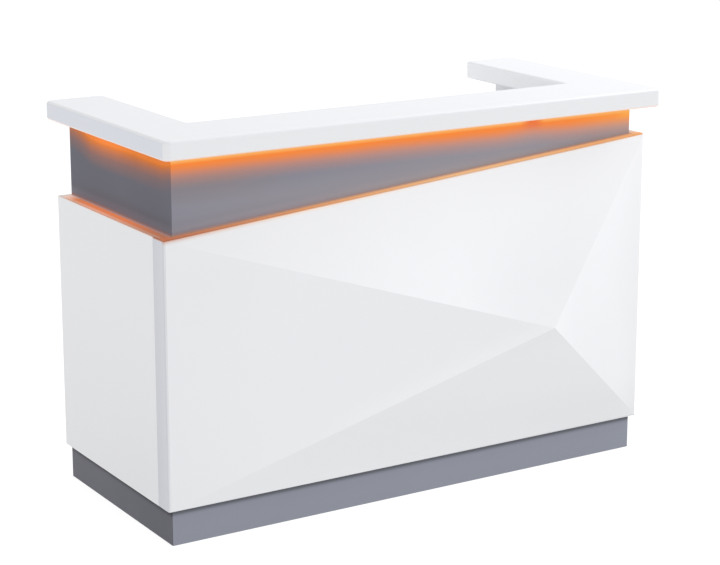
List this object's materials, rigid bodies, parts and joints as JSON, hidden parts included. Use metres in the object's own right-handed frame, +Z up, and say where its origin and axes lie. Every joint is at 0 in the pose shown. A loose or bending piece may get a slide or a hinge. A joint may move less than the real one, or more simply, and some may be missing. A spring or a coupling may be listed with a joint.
{
  "type": "reception desk",
  "caption": "Reception desk with a faceted white front, a raised wrap-round counter lit from below, a lower worktop, a drawer pedestal and a hinged-door cupboard.",
  "frame": {"origin": "on the floor, under the middle of the desk's overall box", "axes": "+X to the visitor's right along the desk's length, +Y from the visitor's side to the working side, +Z up"},
  "size_m": [1.534, 0.716, 1.054],
  "materials": {
    "white_lacquer": "white gloss lacquer on MDF",
    "grey_lacquer": "mid grey satin lacquer on MDF",
    "white_board": "white melamine-faced board, satin",
    "drawer_board": "light grey foil-wrapped drawer board, matt",
    "brushed_steel": "brushed satin nickel",
    "zinc_steel": "bright zinc-plated pressed steel",
    "orange_light": "frosted light diffuser, lit orange",
    "black_plastic": "fine-textured black plastic",
    "grey_plastic": "fine-textured grey plastic"
  },
  "bodies": {
    "desk": {"band_front": "grey_lacquer", "band_left": "grey_lacquer", "band_right": "grey_lacquer", "base_left": "white_board", "base_right": "white_board", "counter_front": "white_lacquer", "counter_left": "white_lacquer", "counter_right": "white_lacquer", "cupboard_shelf": "white_board", "divider_left": "white_board", "divider_right": "white_board", "door_pivot_bottom": "zinc_steel", "door_pivot_top": "zinc_steel", "drawer_low_rail_fixed_left": "zinc_steel", "drawer_low_rail_fixed_right": "zinc_steel", "drawer_mid_rail_fixed_left": "zinc_steel", "drawer_mid_rail_fixed_right": "zinc_steel", "drawer_top_rail_fixed_left": "zinc_steel", "drawer_top_rail_fixed_right": "zinc_steel", "front_panel": "white_lacquer", "front_rail_bottom": "white_lacquer", "front_rail_top": "white_lacquer", "front_stile_left": "white_lacquer", "front_stile_right": "white_lacquer", "inner_front_board": "white_board", "inner_side_left": "white_board", "inner_side_right": "white_board", "led_driver": "grey_plastic", "led_strip_counter": "orange_light", "led_strip_ledge": "orange_light", "led_switch_housing": "grey_plastic", "plinth_front": "grey_lacquer", "plinth_left": "grey_lacquer", "plinth_rear_left": "grey_lacquer", "plinth_rear_right": "grey_lacquer", "plinth_right": "grey_lacquer", "side_panel_left": "white_lacquer", "side_panel_right": "white_lacquer", "worktop": "white_board", "worktop_grommet": "black_plastic"},
    "drawer_top": {"drawer_top_front": "white_board", "drawer_top_box": "drawer_board", "drawer_top_handle": "brushed_steel", "drawer_top_rail_left": "zinc_steel", "drawer_top_rail_right": "zinc_steel"},
    "drawer_mid": {"drawer_mid_front": "white_board", "drawer_mid_box": "drawer_board", "drawer_mid_handle": "brushed_steel", "drawer_mid_rail_left": "zinc_steel", "drawer_mid_rail_right": "zinc_steel"},
    "drawer_low": {"drawer_low_front": "white_board", "drawer_low_box": "drawer_board", "drawer_low_handle": "brushed_steel", "drawer_low_rail_left": "zinc_steel", "drawer_low_rail_right": "zinc_steel"},
    "cupboard_door": {"door": "white_board", "door_handle": "brushed_steel"},
    "drawer_lock_plug": {"drawer_lock": "brushed_steel"},
    "door_lock_plug": {"door_lock": "brushed_steel"},
    "switch_rocker": {"led_switch_rocker": "black_plastic"}
  },
  "joints": [
    {"name": "drawer_top_slide", "type": "slide", "parent": "desk", "child": "drawer_top", "axis": [0, 1, 0], "range_m": [0, 0.34]},
    {"name": "drawer_mid_slide", "type": "slide", "parent": "desk", "child": "drawer_mid", "axis": [0, 1, 0], "range_m": [0, 0.34]},
    {"name": "drawer_low_slide", "type": "slide", "parent": "desk", "child": "drawer_low", "axis": [0, 1, 0], "range_m": [0, 0.34]},
    {"name": "door_hinge", "type": "hinge", "parent": "desk", "child": "cupboard_door", "pos_m": [0.6758, 0.3075, 0.419], "axis": [0, 0, -1], "range_deg": [0, 90]},
    {"name": "drawer_lock_turn", "type": "hinge", "parent": "drawer_top", "child": "drawer_lock_plug", "pos_m": [-0.365, 0.3165, 0.692], "axis": [0, 1, 0], "range_deg": [0, 90]},
    {"name": "door_lock_turn", "type": "hinge", "parent": "cupboard_door", "child": "door_lock_plug", "pos_m": [0.369, 0.3165, 0.692], "axis": [0, 1, 0], "range_deg": [0, 90]},
    {"name": "switch_rock", "type": "hinge", "parent": "desk", "child": "switch_rocker", "pos_m": [0.185, -0.2022, 0.951], "axis": [1, 0, 0], "range_deg": [0, 16]}
  ]
}
